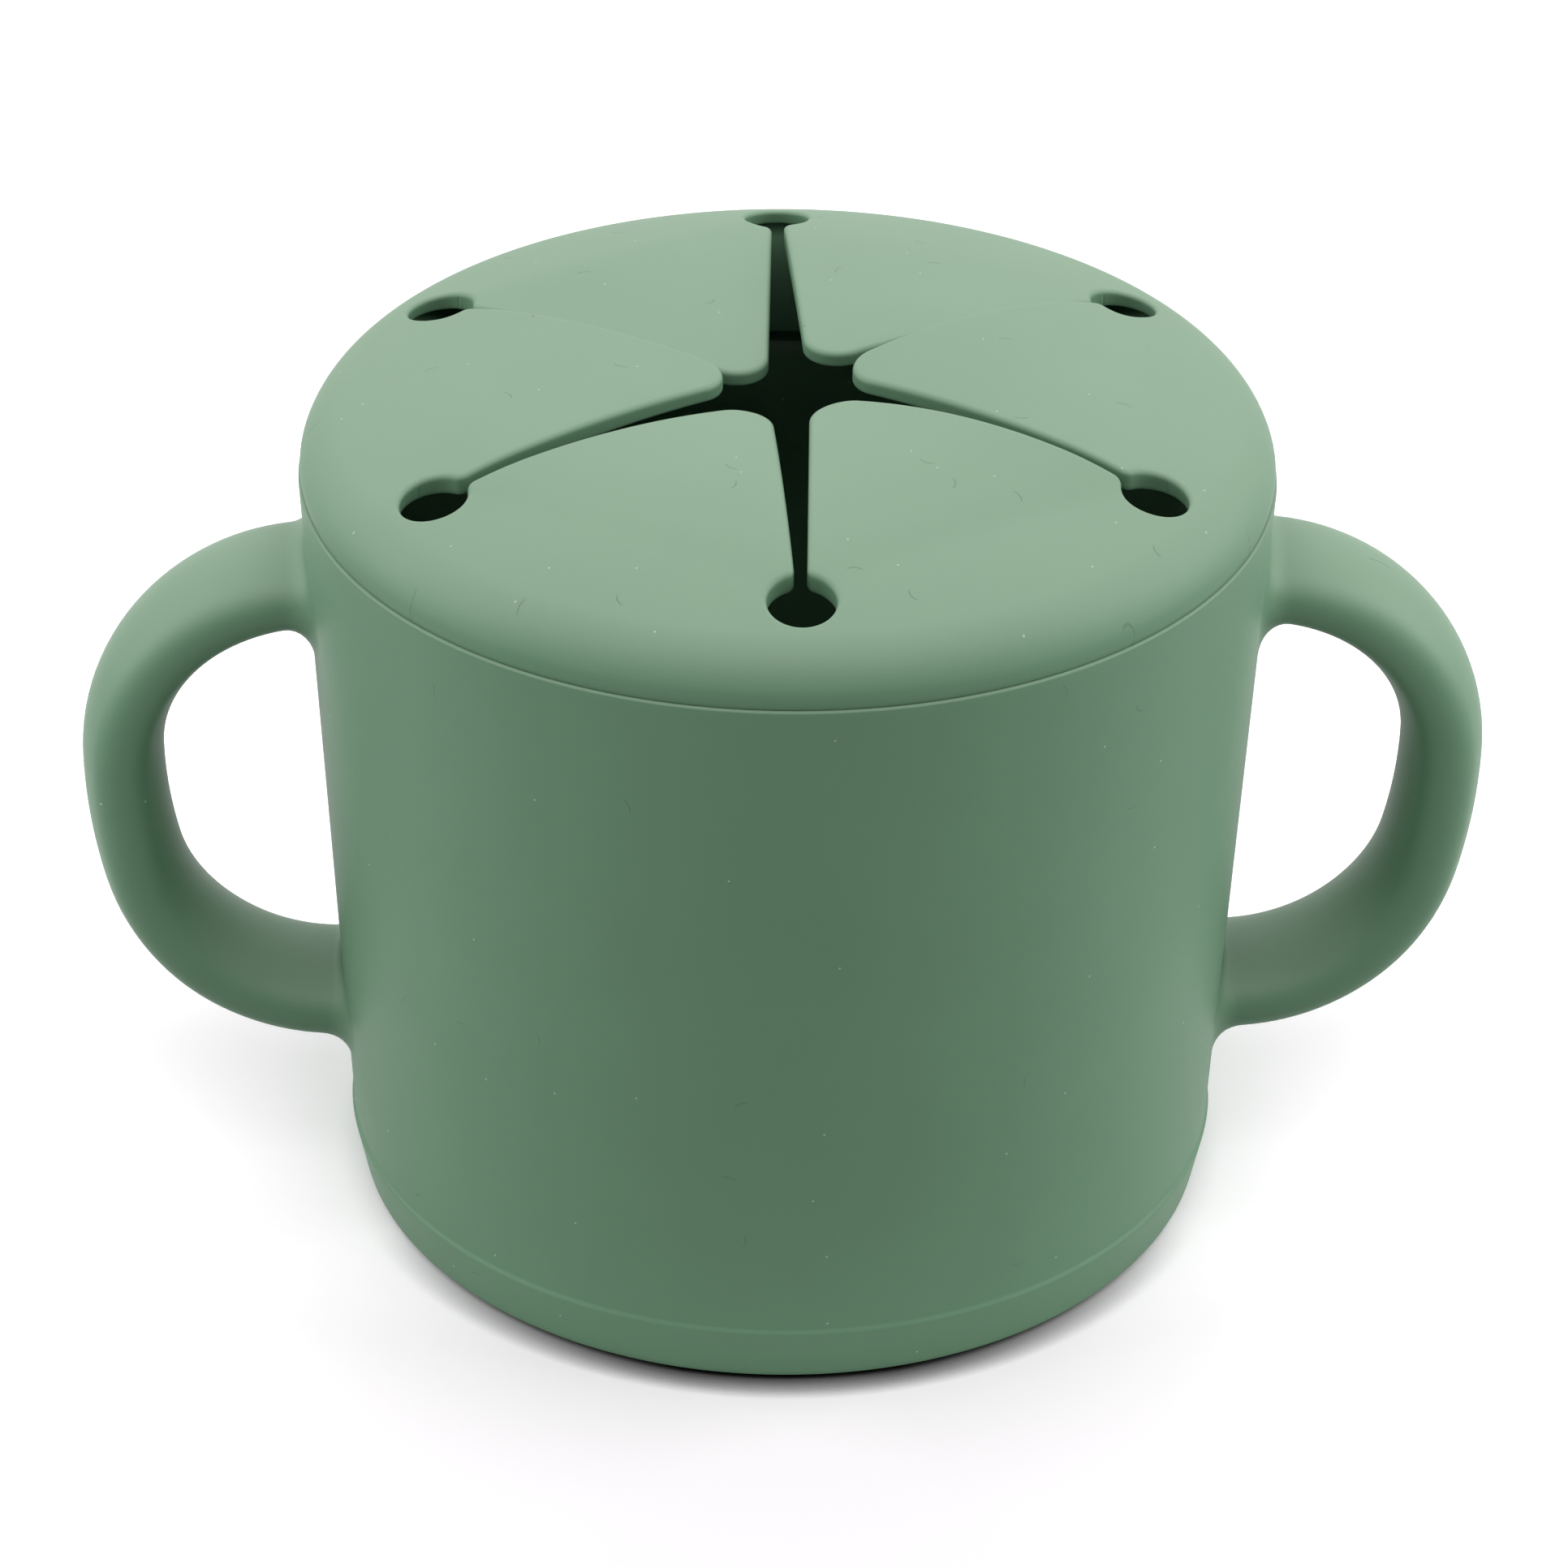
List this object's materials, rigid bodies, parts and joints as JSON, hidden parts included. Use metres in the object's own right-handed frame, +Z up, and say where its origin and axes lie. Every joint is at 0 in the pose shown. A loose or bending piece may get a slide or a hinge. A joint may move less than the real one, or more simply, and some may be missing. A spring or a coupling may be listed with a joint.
{
  "type": "toddler snack cup",
  "caption": "Soft two-handled snack cup with a push-in domed lid, slit into petal flaps round a star opening so that a small hand can reach in.",
  "frame": {"origin": "middle of the flat base, on the surface that the cup stands on", "axes": "+Z up along the cup's axis; X through the two handles; +Y towards the back"},
  "size_m": [0.1324, 0.09, 0.0844],
  "materials": {
    "cup_silicone": "matte moulded silicone, sage green",
    "lid_silicone": "matte moulded silicone, sage green"
  },
  "bodies": {
    "cup": {"cup": "cup_silicone"},
    "lid": {"lid_ring": "lid_silicone"},
    "petal_right": {"flap_right": "lid_silicone"},
    "petal_back_right": {"flap_back_right": "lid_silicone"},
    "petal_back_left": {"flap_back_left": "lid_silicone"},
    "petal_left": {"flap_left": "lid_silicone"},
    "petal_front_left": {"flap_front_left": "lid_silicone"},
    "petal_front_right": {"flap_front_right": "lid_silicone"}
  },
  "joints": [
    {"name": "lid_lift", "type": "slide", "parent": "cup", "child": "lid", "axis": [0, 0, 1], "range_m": [0, 0.04]},
    {"name": "right_petal_bend", "type": "hinge", "parent": "lid", "child": "petal_right", "pos_m": [0.03213, 0, 0.08139], "axis": [0, -1, 0], "range_deg": [-45, 75], "stiffness_Nm_per_rad": 0.012},
    {"name": "back_right_petal_bend", "type": "hinge", "parent": "lid", "child": "petal_back_right", "pos_m": [0.01606, 0.02782, 0.08139], "axis": [0.866, -0.5, 0], "range_deg": [-45, 75], "stiffness_Nm_per_rad": 0.012},
    {"name": "back_left_petal_bend", "type": "hinge", "parent": "lid", "child": "petal_back_left", "pos_m": [-0.01606, 0.02782, 0.08139], "axis": [0.866, 0.5, 0], "range_deg": [-45, 75], "stiffness_Nm_per_rad": 0.012},
    {"name": "left_petal_bend", "type": "hinge", "parent": "lid", "child": "petal_left", "pos_m": [-0.03213, 0, 0.08139], "axis": [0, 1, 0], "range_deg": [-45, 75], "stiffness_Nm_per_rad": 0.012},
    {"name": "front_left_petal_bend", "type": "hinge", "parent": "lid", "child": "petal_front_left", "pos_m": [-0.01606, -0.02782, 0.08139], "axis": [-0.866, 0.5, 0], "range_deg": [-45, 75], "stiffness_Nm_per_rad": 0.012},
    {"name": "front_right_petal_bend", "type": "hinge", "parent": "lid", "child": "petal_front_right", "pos_m": [0.01606, -0.02782, 0.08139], "axis": [-0.866, -0.5, 0], "range_deg": [-45, 75], "stiffness_Nm_per_rad": 0.012}
  ]
}
